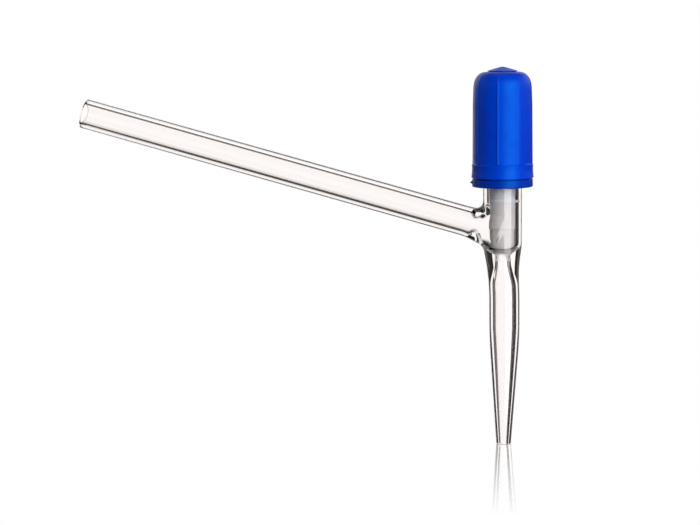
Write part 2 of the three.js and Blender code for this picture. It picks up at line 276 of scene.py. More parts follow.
# Key light, seen from the knob. Azimuth 0 is in front of the object and 90 on its right
KEY_AIM = (0, 0, 95)
KEY_AZIMUTH = math.radians(37)
KEY_ELEVATION = math.radians(4)
KEY_DISTANCE = 0.7
KEY_WIDTH = 0.56
KEY_HEIGHT = 0.8
KEY_POWER = 8.2

# Camera
CAMERA_AIM = (-51.8, 0.0, 60.9)
CAMERA_AZIMUTH = math.radians(10)
CAMERA_ELEVATION = math.radians(7)
CAMERA_ROLL = math.radians(-0.55)
CAMERA_DISTANCE = 0.673
CAMERA_LENS = 102.0857
SENSOR_WIDTH = 36.0


# ---- curves and meshes ----

def world(points):
    """Valve-frame millimetres to the frame's metres."""
    return (np.asarray(points, float) + (AXIS_X, 0.0, TIP_Z)) * MM


def wrapped(value, period=2 * math.pi):
    """A value moved by whole periods until it is within half a period of zero."""
    return (value + period / 2) % period - period / 2


def ease(value):
    """A smooth step from 0 to 1."""
    value = np.clip(value, 0, 1)
    return value * value * (3 - 2 * value)


def full_turn(count):
    return np.linspace(0, 2 * math.pi, count, endpoint=False)


def bezier(*control, steps=12):
    """Points on the Bezier curve of 2, 3 or 4 control points, without its last point."""
    degree = len(control) - 1
    t = np.linspace(0, 1, steps, endpoint=False)[:, None]
    points = np.zeros((steps, 2))
    for k, point in enumerate(control):
        points += math.comb(degree, k) * t ** k * (1 - t) ** (degree - k) * np.array(point, float)
    return points


def rounded(corners, arc_steps=5):
    """An outline from (radius, height, fillet) corners, each corner rounded by its own fillet. A
    fillet takes a little less than half of a side at most."""
    outline = []
    count = len(corners)
    side_share = 2.05
    for i, (r, z, fillet) in enumerate(corners):
        corner = np.array((r, z), float)
        if fillet == 0:
            outline.append(corner)
            continue
        before = np.array(corners[i - 1][:2], float) - corner
        after = np.array(corners[(i + 1) % count][:2], float) - corner
        reach_before = min(fillet, np.linalg.norm(before) / side_share)
        reach_after = min(fillet, np.linalg.norm(after) / side_share)
        start = corner + before / np.linalg.norm(before) * reach_before
        end = corner + after / np.linalg.norm(after) * reach_after
        outline.extend(bezier(start, corner, end, steps=arc_steps))
        outline.append(end)
    return np.array(outline)


def spaced(*stops):
    """Heights from (height, steps to the next height) stops."""
    parts = []
    for (height, steps), (next_height, _) in zip(stops, stops[1:]):
        parts.append(np.linspace(height, next_height, steps, endpoint=False))
    return np.concatenate(parts + [[stops[-1][0]]])


def turned(radius, z, angles):
    """Points on rings about the valve's axis: a row of radius and z for each ring."""
    radius, z, angles = np.broadcast_arrays(radius, z, angles)
    return np.stack([radius * np.cos(angles), radius * np.sin(angles), z], axis=-1).reshape(-1, 3)


def quads(rows, columns, open_rows=False, open_columns=False):
    """Faces between the points of a grid. Unless they are open, its last row and its last column
    join the first."""
    faces = []
    for j in range(rows - open_rows):
        up = ((j + 1) % rows - j) * columns
        for i in range(columns - open_columns):
            a, b = j * columns + i, j * columns + (i + 1) % columns
            faces.append((a, b, b + up, a + up))
    return faces


def make_object(name, points, faces, material):
    mesh = bpy.data.meshes.new(name)
    mesh.from_pydata(world(points).tolist(), [], faces)
    mesh.validate()
    mesh.materials.append(material)
    mesh.shade_smooth()
    obj = bpy.data.objects.new(name, mesh)
    bpy.context.scene.collection.objects.link(obj)
    face_outwards(obj)
    return obj


def face_outwards(obj):
    bm = bmesh.new()
    bm.from_mesh(obj.data)
    bmesh.ops.recalc_face_normals(bm, faces=bm.faces)
    bm.to_mesh(obj.data)
    bm.free()


def flat_faces_first(obj):
    """Large faces keep their own normals, so only the fillets between them are shaded round."""
    modifier = obj.modifiers.new("weighted_normals", "WEIGHTED_NORMAL")
    modifier.mode = "FACE_AREA"
    modifier.weight = 80


def lathe(name, outline, angles, material, shape=None):
    """Turns an outline of (radius, height) round the valve's axis. An outline that starts and ends
    on the axis gets a point at each end; any other outline closes on itself. shape(r, z, angle)
    gives the true radius where the piece isn't quite round."""
    outline = np.asarray(outline, float)
    poled = bool(outline[0][0] < SAME_R)
    rings = outline[1:-1] if poled else outline
    rows, columns = len(rings), len(angles)
    r, z = rings[:, :1], rings[:, 1:]
    points = turned(r if shape is None else shape(r, z, angles), z, angles)
    faces = quads(rows, columns, open_rows=poled)
    if poled:
        low, high = len(points), len(points) + 1
        last = (rows - 1) * columns
        points = np.vstack([points, (0, 0, outline[0][1]), (0, 0, outline[-1][1])])
        for i in range(columns):
            faces.append((low, (i + 1) % columns, i))
            faces.append((high, last + i, last + (i + 1) % columns))
    return make_object(name, points, faces, material)


def helix_ridge(z, angle, span, offset=0.0):
    """Height, from 0 to 1, of a rounded thread ridge on a right-hand helix, run out at both ends."""
    foot, top = span
    turn = (z - foot) / PITCH - angle / (2 * math.pi) + offset
    across = np.abs(wrapped(turn, 1.0)) * PITCH
    ridge = np.clip(1 - (2 * across / RIDGE_WIDTH) ** 4, 0, 1)
    run_out = np.clip(np.minimum(z - foot, top - z) / (PITCH / 3), 0, 1)
    return ridge * run_out


# ---- outlines of the glass body ----

def outer_outline():
    """The outside from the tip up: jet, shoulder, barrel and neck."""
    taper = (TUBE_R - TIP_R) / (JET_TAPER_TOP - EDGE_ROUND)
    blend_foot = (TUBE_R - taper * JET_TAPER_BLEND, JET_TAPER_TOP - JET_TAPER_BLEND)
    blend_top = (TUBE_R, JET_TAPER_TOP + JET_TAPER_BLEND)
    chamfer_foot = (BARREL_R, NECK_FOOT - NECK_CHAMFER)
    return np.vstack([
        bezier((TIP_R, EDGE_ROUND), blend_foot, steps=4),
        bezier(blend_foot, (TUBE_R, JET_TAPER_TOP), blend_top, steps=30),
        bezier(blend_top, SHOULDER[0], steps=4),
        bezier(*SHOULDER, steps=60),
        bezier(SHOULDER[-1], chamfer_foot, steps=4),
        bezier(chamfer_foot, (NECK_R, NECK_FOOT), steps=4),
        [(NECK_R, NECK_FOOT), (NECK_R, NECK_TOP)],
    ])


def bore_outline():
    """The bore from the tip up: jet, funnel, throat, seat and barrel."""
    taper_top = (TUBE_BORE_R, JET_BORE_TAPER_TOP)
    return np.vstack([
        bezier((TIP_BORE_R, 0), taper_top, steps=4),
        bezier(taper_top, FUNNEL[0], steps=4),
        bezier(*FUNNEL, steps=60),
        bezier(FUNNEL[-1], THROAT[0], steps=4),
        bezier(*THROAT, steps=20),
        bezier(THROAT[-1], SEAT[0], steps=4),
        bezier(*SEAT, steps=20),
        [SEAT[-1], (BARREL_BORE_R, NECK_TOP)],
    ])


def rows_at(outline, heights):
    return np.stack([np.interp(heights, outline[:, 1], outline[:, 0]), heights], axis=1)


def tip_end(bore_start):
    """The jet's end ring, from the outside in."""
    outer_edge, inner_edge = (TIP_R - EDGE_ROUND, 0), (TIP_BORE_R + EDGE_ROUND, 0)
    return np.vstack([
        bezier((TIP_R, EDGE_ROUND), (TIP_R, 0), outer_edge, steps=6)[1:],
        bezier(outer_edge, inner_edge, steps=4),
        bezier(inner_edge, (TIP_BORE_R, 0), bore_start, steps=6),
    ])


def neck_rim(bore_end, outside_start):
    """The neck's top ring, from the bore out."""
    inner_edge, outer_edge = (BARREL_BORE_R + EDGE_ROUND, NECK_TOP), (NECK_R - EDGE_ROUND, NECK_TOP)
    return np.vstack([
        bezier(bore_end, (BARREL_BORE_R, NECK_TOP), inner_edge)[1:],
        bezier(inner_edge, outer_edge, steps=4),
        bezier(outer_edge, (NECK_R, NECK_TOP), outside_start),
    ])


def glass_rows():
    """The closed outline of the barrel and jet, outside down and bore up, as (radius, height) rows,
    with the first row of the window that the side arm grows from on each side."""
    outside = spaced((NECK_TOP - EDGE_ROUND, 80), (OUTER_WINDOW_TOP, WINDOW), (OUTER_WINDOW_FOOT, 42),
                     (JET_TAPER_TOP + JET_TAPER_BLEND, 50), (EDGE_ROUND, 0))
    inside = spaced((EDGE_ROUND, 44), (JET_BORE_TAPER_TOP, 10), (FUNNEL[0][1], 60),
                    (INNER_WINDOW_FOOT, WINDOW), (INNER_WINDOW_TOP, 34), (NECK_TOP - EDGE_ROUND, 0))
    outside_rows = rows_at(outer_outline(), outside)
    inside_rows = rows_at(bore_outline(), inside)
    tip = tip_end(inside_rows[0])
    rim = neck_rim(inside_rows[-1], outside_rows[0])
    outer_window = int(np.argmin(np.abs(outside - OUTER_WINDOW_TOP)))
    inner_window = len(outside) + len(tip) + int(np.argmin(np.abs(inside - INNER_WINDOW_FOOT)))
    return np.vstack([outside_rows, tip, inside_rows, rim]), outer_window, inner_window


def arm_outline():
    """The side arm outside, over its polished end and back along its bore, as (radius, distance
    along the arm)."""
    end = ARM_LENGTH - ARM_END_ROUND
    face_outer, face_inner = TUBE_R - ARM_END_ROUND, TUBE_BORE_R + ARM_END_ROUND
    return np.vstack([
        [(TUBE_R, along) for along in np.linspace(ARM_START, end, 60)],
        bezier((TUBE_R, end), (TUBE_R, ARM_LENGTH), (face_outer, ARM_LENGTH), steps=5)[1:],
        bezier((face_outer, ARM_LENGTH), (face_inner, ARM_LENGTH), steps=4),
        bezier((face_inner, ARM_LENGTH), (TUBE_BORE_R, ARM_LENGTH), (TUBE_BORE_R, end), steps=5),
        [(TUBE_BORE_R, along) for along in np.linspace(end, ARM_BORE_START, 60)],
    ])


def jet_offset(z):
    """The jet stands a little beside the barrel's axis and leans back towards its tip."""
    lean = JET_LEAN * ease((JET_LEAN_TOP - z) / JET_LEAN_DROP)
    return JET_OFFSET * (ease((JET_OFFSET_TOP - z) / JET_OFFSET_DROP) - lean)


# ---- the side arm run together with the barrel ----

def along_arm(points):
    """Distance along the side arm from the valve's axis, rise above the arm's own axis, and
    distance from that axis."""
    x, y, z = points[:, 0], points[:, 1], points[:, 2] - ARM_HEIGHT
    along = -x * math.cos(ARM_TILT) + z * math.sin(ARM_TILT)
    rise = x * math.sin(ARM_TILT) + z * math.cos(ARM_TILT)
    return along, rise, np.hypot(y, rise)


def fused(points, outline, arm_r, flare_top, flare_foot, blend_top, blend_foot):
    """Signed distance to the barrel and the arm run together. The arm flares towards the barrel,
    more on its lower side, and a fillet rounds the corner between them."""
    barrel_r = np.interp(points[:, 2], outline[:, 1], outline[:, 0])
    barrel = np.hypot(points[:, 0], points[:, 1]) - barrel_r
    along, rise, off_axis = along_arm(points)
    below = np.clip(0.5 - rise / (2 * arm_r), 0, 1)
    inwards = np.clip(FLARE_START - along, 0, None)
    bend = inwards ** 2 / (2 * FLARE_BEND)
    growth = np.where(inwards < FLARE_BEND, bend, inwards - FLARE_BEND / 2)
    flare = (flare_top + (flare_foot - flare_top) * below) * growth
    arm = np.maximum(off_axis - arm_r - flare, ARM_ROOT - along)
    blend = blend_top + (blend_foot - blend_top) * below
    near = np.clip(blend - np.abs(barrel - arm), 0, None) / blend
    return np.minimum(barrel, arm) - near ** 2 * blend / 4


def bead(points, middle, reach, height):
    """A drop of glass that stands into the side arm's bore, as the flame leaves it at a joint."""
    along, rise, _ = along_arm(points)
    place = np.stack([along, points[:, 1], rise], axis=1)
    return height * np.exp(-(((place - middle) / reach) ** 2).sum(axis=1))


def fused_bore(points, outline):
    surface = fused(points, outline, TUBE_BORE_R, *BORE_FUSION)
    return surface + bead(points, *UPPER_BEAD) + bead(points, *LOWER_BEAD)


def settle(points, surface, rounds):
    """Moves points onto the surface where its distance is zero."""
    step = 1e-3
    least_slope = 0.05
    for _ in range(rounds):
        value = surface(points)
        slope = np.zeros_like(points)
        for axis in range(3):
            shift = np.zeros(3)
            shift[axis] = step
            slope[:, axis] = (surface(points + shift) - surface(points - shift)) / (2 * step)
        length = np.maximum((slope ** 2).sum(axis=1), least_slope)
        points = points - (value / length)[:, None] * slope
    return points


def fuse(points, faces, window, fillet, surface, margin=7, rounds=14):
    """Lets the rows round a window and the fillet's rings spread out evenly over the fused surface."""
    row, column = np.divmod(np.arange(len(points)), COLUMNS)
    settled = (row >= window - margin) & (row <= window + WINDOW + margin)
    left, right = WINDOW_LEFT - margin, WINDOW_LEFT + WINDOW + margin
    free = settled & (column >= left) & (column <= right)
    settled[fillet] = True
    free[fillet] = True
    edges = np.array([(face[k], face[(k + 1) % 4]) for face in faces for k in range(4)])
    edges = edges[free[edges[:, 0]] | free[edges[:, 1]]]
    points[settled] = settle(points[settled], surface, rounds=8)
    for _ in range(rounds):
        total, count = np.zeros_like(points), np.zeros(len(points))
        for a, b in ((0, 1), (1, 0)):
            np.add.at(total, edges[:, a], points[edges[:, b]])
            np.add.at(count, edges[:, a], 1)
        moving = free & (count > 0)
        neighbours = total[moving] / count[moving][:, None]
        points[moving] += (neighbours - points[moving]) / 2
        points[moving] = settle(points[moving], surface, rounds=2)
    return points


# ---- glass body ----

def window_loop(first_row, upwards):
    """Grid points round a window, from the middle of its foot, the same way round for both sides."""
    rows = list(range(first_row, first_row + WINDOW + 1))
    if not upwards:
        rows.reverse()
    half = WINDOW // 2
    foot = [(rows[0], WINDOW_LEFT + half + i) for i in range(half)]
    far = [(rows[i], WINDOW_LEFT + WINDOW) for i in range(WINDOW)]
    top = [(rows[-1], WINDOW_LEFT + WINDOW - i) for i in range(WINDOW)]
    near = [(rows[-1 - i], WINDOW_LEFT) for i in range(WINDOW)]
    rest = [(rows[0], WINDOW_LEFT + i) for i in range(half)]
    return [row * COLUMNS + column for row, column in foot + far + top + near + rest]


def in_window(face, first_row):
    """Whether a face of the turned glass lies in the window that starts at a row."""
    row, column = divmod(face[0], COLUMNS)
    return first_row <= row < first_row + WINDOW and WINDOW_LEFT <= column < WINDOW_LEFT + WINDOW


def turned_glass(rows):
    """Points of the barrel and jet, with the thread's ridge on the neck."""
    angles = full_turn(COLUMNS)
    r, z = rows[:, :1], rows[:, 1:]
    on_neck = np.abs(r - NECK_R) < SAME_R
    ridge = helix_ridge(z, angles, NECK_THREAD) * on_neck
    return turned(r * (1 + RIDGE_HEIGHT * ridge / NECK_R), z, angles)


def arm_ring(along, radius):
    """A ring of the side arm, counted the same way round as a window's loop."""
    angle = -math.pi / 2 - 2 * math.pi * np.arange(PERIMETER) / PERIMETER
    rise, side = radius * np.sin(angle), radius * np.cos(angle)
    x = -along * math.cos(ARM_TILT) + rise * math.sin(ARM_TILT)
    z = ARM_HEIGHT + along * math.sin(ARM_TILT) + rise * math.cos(ARM_TILT)
    return np.stack([x, side, z], axis=1)


def rings_between(start, end, steps):
    """Rings on straight lines from one ring to another, without those two."""
    return [start * (1 - t) + end * t for t in np.linspace(0, 1, steps)[1:-1]]


def without_loose_points(points, faces):
    faces = np.array(faces)
    used = np.unique(faces)
    renumber = np.zeros(len(points), int)
    renumber[used] = np.arange(len(used))
    return points[used], renumber[faces].tolist()


def glass_body(material):
    """The barrel and jet are turned with a window left open in the outside and in the bore. The
    side arm runs from the outer window to its end and back inside to the inner window."""
    rows, outer_window, inner_window = glass_rows()
    points = turned_glass(rows)
    faces = [face for face in quads(len(rows), COLUMNS)
             if not in_window(face, outer_window) and not in_window(face, inner_window)]
    outer_loop = window_loop(outer_window, upwards=False)
    inner_loop = window_loop(inner_window, upwards=True)

    outer_fillet = rings_between(points[outer_loop], arm_ring(ARM_START, TUBE_R), steps=19)
    inner_fillet = rings_between(arm_ring(ARM_BORE_START, TUBE_BORE_R), points[inner_loop], steps=31)
    rings = outer_fillet + [arm_ring(along, r) for r, along in arm_outline()] + inner_fillet
    numbers = len(points) + np.arange(len(rings) * PERIMETER).reshape(len(rings), PERIMETER)
    points = np.vstack([points] + rings)
    loops = [outer_loop, *numbers, inner_loop]
    for a, b in zip(loops, loops[1:]):
        for i in range(PERIMETER):
            n = (i + 1) % PERIMETER
            faces.append((a[i], a[n], b[n], b[i]))

    outer, bore = outer_outline(), bore_outline()
    outer_numbers = numbers[:len(outer_fillet)].ravel()
    inner_numbers = numbers[-len(inner_fillet):].ravel()
    points = fuse(points, faces, outer_window, outer_numbers,
                  lambda p: fused(p, outer, TUBE_R, *OUTER_FUSION))
    points = fuse(points, faces, inner_window, inner_numbers, lambda p: fused_bore(p, bore))
    points[:, 0] += jet_offset(points[:, 2])
    return make_object("glass_body_clear", *without_loose_points(points, faces), material)


# ---- spindle ----

def spindle(material):
    line_r = SPINDLE_R - SPINDLE_LINE_DEPTH
    corners = [
        (0, SPINDLE_FOOT, 0), (SPINDLE_FOOT_R, SPINDLE_FOOT, 1.5),
        (SPINDLE_FOOT_R, SPINDLE_STEP, 0.1), (SPINDLE_R, SPINDLE_STEP + SPINDLE_STEP_RISE, 0.1),
        (SPINDLE_R, SPINDLE_LINE - SPINDLE_LINE_HALF, 0.03), (line_r, SPINDLE_LINE, 0.03),
        (SPINDLE_R, SPINDLE_LINE + SPINDLE_LINE_HALF, 0.03),
        (SPINDLE_R, LIP_FOOT, 0.1), (LIP_R, LIP_FOOT + LIP_SLOPE, 0.15),
        (LIP_R, LIP_TOP - LIP_SLOPE, 0.15), (SPINDLE_R, LIP_TOP, 0.1),
    ]
    for height in O_RING_HEIGHTS:
        foot, top = height - O_RING_GROOVE_WIDTH / 2, height + O_RING_GROOVE_WIDTH / 2
        corners += [(SPINDLE_R, foot, 0.1), (O_RING_GROOVE_R, foot, 0.1)]
        corners += [(O_RING_GROOVE_R, top, 0.1), (SPINDLE_R, top, 0.1)]
    corners += [
        (SPINDLE_R, SPINDLE_SHOULDER, 0.2), (STEM_R, SPINDLE_SHOULDER, 0.2),
        (STEM_R, STEM_TOP, 0.2), (SCREW_HOLE_R, STEM_TOP, 0.2),
        (SCREW_HOLE_R, SCREW_HOLE_FOOT, 0.2), (0, SCREW_HOLE_FOOT, 0),
    ]
    return lathe("spindle_turned", rounded(corners, 4), full_turn(96), material, lip_shape)


def lip_shape(r, z, angle):
    """The lip is a little oval and touches the glass on the right only."""
    apart = wrapped(angle - LIP_TOUCH_ANGLE)
    clear = LIP_CLEARANCE * (1 - np.exp(-(apart / LIP_TOUCH_SPREAD) ** 2))
    on_lip = r > SPINDLE_R + 0.1
    return r - clear * on_lip


# ---- knob ----

def rib_angles():
    """Angles round the knob, close together at the ribs and wide apart on the panels."""
    half_rib = math.degrees(RIB_WIDTH / 2 / KNOB_FOOT_R)
    half_sector = math.degrees(RIB_SECTOR / 2)
    crest = half_rib * np.array([-0.55, 0.0, 0.55])
    flank = half_rib * np.array([0.85, 1.2, 1.7, 2.4])
    side = np.concatenate([flank, np.linspace(6, half_sector, 6)])
    sector = np.concatenate([-side[::-1][1:], crest, side])
    turns = [RIB_PHASE + k * RIB_SECTOR for k in range(RIB_COUNT)]
    return np.concatenate([turn + np.radians(sector) for turn in turns])


def rib_profile(angle):
    """1 on a rib's crest, 0 on the panel between two ribs."""
    across = np.abs(wrapped(angle - RIB_PHASE, RIB_SECTOR)) * KNOB_FOOT_R
    return 1 / (1 + (across / (RIB_WIDTH / 2)) ** 6)


def knob_shape(r, z, angle):
    """Ribs and panels on the knob's side, and the thread in its bore."""
    on_side = (r > KNOB_TOP_R) & (z > PANEL_FOOT) & (z < PANEL_TOP)
    fade = np.clip((PANEL_TOP - z) / PANEL_FADE, 0, 1) ** 0.5
    from_middle = (angle - RIB_PHASE) % RIB_SECTOR - RIB_SECTOR / 2
    panel = PANEL_FLATNESS * (r * (1 / np.cos(from_middle) - 1) - PANEL_SINK)
    side = (rib_profile(angle) * RIB_HEIGHT + panel) * on_side * fade
    in_bore = np.abs(r - KNOB_BORE_R) < SAME_R
    lead = 0.5 + (KNOB_THREAD[0] - NECK_THREAD[0]) / PITCH
    thread = helix_ridge(z, angle, KNOB_THREAD, lead)
    return r + side - in_bore * thread * RIDGE_HEIGHT


def knob(material):
    """Skirt and band, side and dome, the web inside and the threaded bore. End corners without a
    fillet only steer the fillets beside them."""
    foot = rounded([
        (KNOB_BORE_R, SKIRT_FOOT, 0.2), (SKIRT_R, SKIRT_FOOT, 0.2), (SKIRT_R, BAND_FOOT, 0.1),
        (BAND_FOOT_R, BAND_FOOT, 0.25), (BAND_WAIST_R, BAND_WAIST, 1.0), (BAND_TOP_R, BAND_TOP, 0.22),
        (KNOB_FOOT_R, BAND_TOP, 0.12), (KNOB_FOOT_R, BAND_TOP + 1, 0),
    ])[:-1]
    side = np.vstack([
        bezier((KNOB_FOOT_R, BAND_TOP + 0.5), (KNOB_WAIST_R, KNOB_WAIST), steps=20),
        bezier((KNOB_WAIST_R, KNOB_WAIST), KNOB_DOME[0], steps=8),
        bezier(*KNOB_DOME, steps=20),
    ])
    inside = rounded([
        (KNOB_TOP_R + 1, KNOB_TOP, 0), (KNOB_TOP_HOLE_R, KNOB_TOP, 0.25), (KNOB_TOP_HOLE_R, WEB_TOP, 0.2),
        (WEB_HOLE_R, WEB_TOP, 0.2), (WEB_HOLE_R, WEB_FOOT, 0.2), (KNOB_BORE_R, WEB_FOOT, 0.3),
        (KNOB_BORE_R, WEB_FOOT - 1, 0),
    ])[1:]
    bore = bezier((KNOB_BORE_R, WEB_FOOT - 1.2), (KNOB_BORE_R, SKIRT_FOOT + 0.4), steps=84)
    outline = np.vstack([foot, side, inside, bore])
    return lathe("knob_moulded", outline, rib_angles(), material, knob_shape)


def stop_ring(material):
    """A ring with a channel section, open at the split."""
    wall = [(RING_R, z, 0) for z in np.linspace(RING_FOOT + 0.6, RING_TOP - 0.3, 9)]
    section = rounded([
        (RING_LIP_R, RING_FOOT, 0.2), (RING_R, RING_FOOT, 0.5), *wall, (RING_R, RING_TOP, 0.2),
        (RING_CHANNEL_R, RING_TOP, 0.2), (RING_CHANNEL_R, RING_FLOOR, 0.2), (RING_LIP_R, RING_FLOOR, 0.2),
    ], 4)
    half_gap = SPLIT_WIDTH / 2 / RING_R
    angles = SPLIT_ANGLE + np.linspace(half_gap, 2 * math.pi - half_gap, RING_COLUMNS)
    r, z = section[:, :1], section[:, 1:]
    points = turned(r * (1 + nib_bump(r, z, angles) / RING_R), z, angles)
    faces = quads(len(section), RING_COLUMNS, open_columns=True)
    for end in (0, RING_COLUMNS - 1):
        faces.append(tuple(j * RING_COLUMNS + end for j in range(len(section))))
    return make_object("stop_ring_moulded", points, faces, material)


def nib_bump(r, z, angle):
    """The stub of a moulding bridge on the ring's outside."""
    across = wrapped(angle - NIB_ANGLE) * RING_R
    up = z - NIB_HEIGHT
    outside = r > RING_R - 0.3
    return NIB_REACH * np.exp(-(across ** 2 + up ** 2) / NIB_SPREAD ** 2) * outside


def knob_plug(material):
    corners = [
        (0, PLUG_SPIGOT_FOOT, 0), (PLUG_SPIGOT_R, PLUG_SPIGOT_FOOT, 0.3),
        (PLUG_SPIGOT_R, PLUG_RIM_FOOT, 0.1), (PLUG_R, PLUG_RIM_FOOT, 0.08),
        (PLUG_R, PLUG_RIM_TOP, 0.12), (PLUG_PEAK_R, PLUG_PEAK_FOOT, 0.8), (0, PLUG_TOP, 0),
    ]
    return lathe("knob_plug_moulded", rounded(corners), full_turn(72), material)


# ---- materials ----

class Nodes:
    """Short calls to add and join the nodes of a material or of the world."""

    def __init__(self, tree):
        self.tree = tree

    def add(self, kind, *values, **settings):
        """A node with its first inputs set or joined in order, and its settings by name."""
        node = self.tree.nodes.new(kind)
        for key, value in settings.items():
            setattr(node, key, value)
        for socket, value in zip(node.inputs, values):
            self.feed(socket, value)
        return node

    def feed(self, socket, value):
        if isinstance(value, bpy.types.NodeSocket):
            self.tree.links.new(value, socket)
        else:
            socket.default_value = value

    def math(self, operation, *values):
        return self.add("ShaderNodeMath", *values, operation=operation).outputs[0]

    def place(self):
        """Where a point is on its own object, in metres."""
        return self.add("ShaderNodeTexCoord").outputs["Object"]

    def tinted(self, colour, tint, amount):
        """A colour multiplied by a tint, as much as the amount from 0 to 1 says."""
        mix = self.add("ShaderNodeMix", data_type="RGBA", blend_type="MULTIPLY")
        inputs = {socket.identifier: socket for socket in mix.inputs}
        outputs = {socket.identifier: socket for socket in mix.outputs}
        self.feed(inputs["Factor_Float"], amount)
        self.feed(inputs["A_Color"], colour)
        self.feed(inputs["B_Color"], tint)
        return outputs["Result_Color"]


class Surface(Nodes):
    """A material with one Principled shader."""

    def __init__(self, name, **values):
        self.material = bpy.data.materials.new(name)
        self.material.use_nodes = True
        super().__init__(self.material.node_tree)
        self.shader = self.tree.nodes["Principled BSDF"]
        for key, value in values.items():
            self.feed(self.shader.inputs[key.replace("_", " ")], value)

    def noise(self, scale, detail=2.0, density=(1, 1, 1)):
        """Noise that sticks to the piece. A larger density packs it closer along that axis."""
        mapping = self.add("ShaderNodeMapping", self.place())
        mapping.inputs["Scale"].default_value = density
        noise = self.add("ShaderNodeTexNoise", mapping.outputs["Vector"])
        noise.inputs["Scale"].default_value = scale
        noise.inputs["Detail"].default_value = detail
        return noise.outputs[0]

    def shades(self, source, low, high):
        """A colour that a noise takes from low to high."""
        ramp = self.add("ShaderNodeValToRGB", source)
        for element, position, colour in zip(ramp.color_ramp.elements, (0.3, 0.7), (low, high)):
            element.position = position
            element.color = colour + (1,)
        return ramp.outputs["Color"]

    def colour(self, value):
        self.feed(self.shader.inputs["Base Color"], value)

    def roughness(self, source, low, high):
        ramp = self.add("ShaderNodeMapRange", source, 0.3, 0.7, low, high)
        self.feed(self.shader.inputs["Roughness"], ramp.outputs["Result"])

    def bump(self, height, distance, strength=1.0):
        bump = self.add("ShaderNodeBump")
        bump.inputs["Strength"].default_value = strength
        bump.inputs["Distance"].default_value = distance
        self.feed(bump.inputs["Height"], height)
        self.feed(self.shader.inputs["Normal"], bump.outputs["Normal"])

    def let_light_through(self):
        """The key light reaches what is inside the glass, which otherwise would shade it."""
        shadow = self.add("ShaderNodeLightPath").outputs["Is Shadow Ray"]
        clear = self.add("ShaderNodeBsdfTransparent", GLASS_SHADOW).outputs[0]
        mix = self.add("ShaderNodeMixShader", shadow, self.shader.outputs[0], clear)
        self.feed(self.tree.nodes["Material Output"].inputs["Surface"], mix.outputs[0])


def glass_material():
    """Clear glass, ground matt round the seat."""
    surface = Surface("borosilicate_glass", Base_Color=WHITE, IOR=1.472, Transmission_Weight=1.0)
    surface.bump(surface.noise(60, detail=1.0), distance=0.00004, strength=0.15)
    seat = tuple(world((0, 0, GROUND_MIDDLE)).tolist())
    distance = surface.add("ShaderNodeVectorMath", surface.place(), seat, operation="DISTANCE")
    ground = surface.math("LESS_THAN", distance.outputs["Value"], GROUND_REACH * MM)
    roughness = surface.math("MULTIPLY", ground, GROUND_ROUGHNESS)
    surface.feed(surface.shader.inputs["Roughness"], roughness)
    surface.let_light_through()
    return surface.material


def ptfe_material():
    """Turned PTFE with fine rings, and a painted reflection of the knob's blue light on its upper part.
    """
    surface = Surface("ptfe", IOR=1.35, Subsurface_Weight=0.2, Subsurface_Scale=0.001)
    white = surface.shades(surface.noise(300, detail=3.0), *PTFE_WHITE)
    height = surface.add("ShaderNodeSeparateXYZ", surface.place()).outputs["Z"]
    foot, top = (float(world((0, 0, z))[2]) for z in (PAINTED_BLUE_REFLECTION_FOOT, PAINTED_BLUE_REFLECTION_TOP))
    painted_reflection_share = surface.add("ShaderNodeMapRange", height, foot, top).outputs["Result"]
    # Painted reflection: the white is tinted blue towards the knob, in place of the knob's blue light
    surface.colour(surface.tinted(white, PAINTED_BLUE_REFLECTION, painted_reflection_share))
    surface.roughness(surface.noise(800, detail=3.0), 0.38, 0.5)
    surface.bump(surface.noise(900, density=(0.05, 0.05, 4)), distance=0.00002, strength=0.5)
    return surface.material


def plastic_material(name, blue):
    surface = Surface(name, IOR=1.49, Specular_Tint=PLASTIC_SHINE)
    surface.colour(surface.shades(surface.noise(90, detail=3.0), *blue))
    surface.roughness(surface.noise(500, detail=4.0), 0.34, 0.44)
    surface.bump(surface.noise(1500, detail=3.0), distance=0.00003, strength=0.25)
    return surface.material


def rubber_material():
    surface = Surface("seal_rubber")
    speck = surface.noise(2500, detail=3.0)
    surface.colour(surface.shades(speck, *RUBBER_BLACK))
    surface.roughness(speck, 0.55, 0.8)
    surface.bump(speck, distance=0.00002, strength=0.4)
    return surface.material


def steel_material():
    surface = Surface("stainless_steel", Metallic=1.0)
    lines = surface.noise(3000, density=(1, 1, 0.1))
    surface.colour(surface.shades(lines, *STEEL_GREY))
    surface.roughness(lines, 0.22, 0.4)
    surface.bump(lines, distance=0.000015, strength=0.3)
    return surface.material


# ---- studio ----

def direction(azimuth, elevation):
    """A direction out from the object. Azimuth 0 is in front of it, and a quarter turn is on its
    right."""
    level = math.cos(elevation)
    return Vector((math.sin(azimuth) * level, -math.cos(azimuth) * level, math.sin(elevation)))


def floor():
    """A white floor that faintly mirrors what stands on it, less and less away from the jet. Only
    the camera sees it, so that below the object the glass sees the cards."""
    mesh = bpy.data.meshes.new("floor")
    half = FLOOR_HALF
    corners = [(-half, -half, 0), (half, -half, 0), (half, half, 0), (-half, half, 0)]
    mesh.from_pydata(corners, [], [(0, 1, 2, 3)])
    mesh.materials.append(floor_material())
    obj = bpy.data.objects.new("floor", mesh)
    obj.location = world((0, 0, -FLOOR_DROP)).tolist()
    obj.visible_diffuse = False
    obj.visible_glossy = False
    obj.visible_transmission = False
    bpy.context.scene.collection.objects.link(obj)


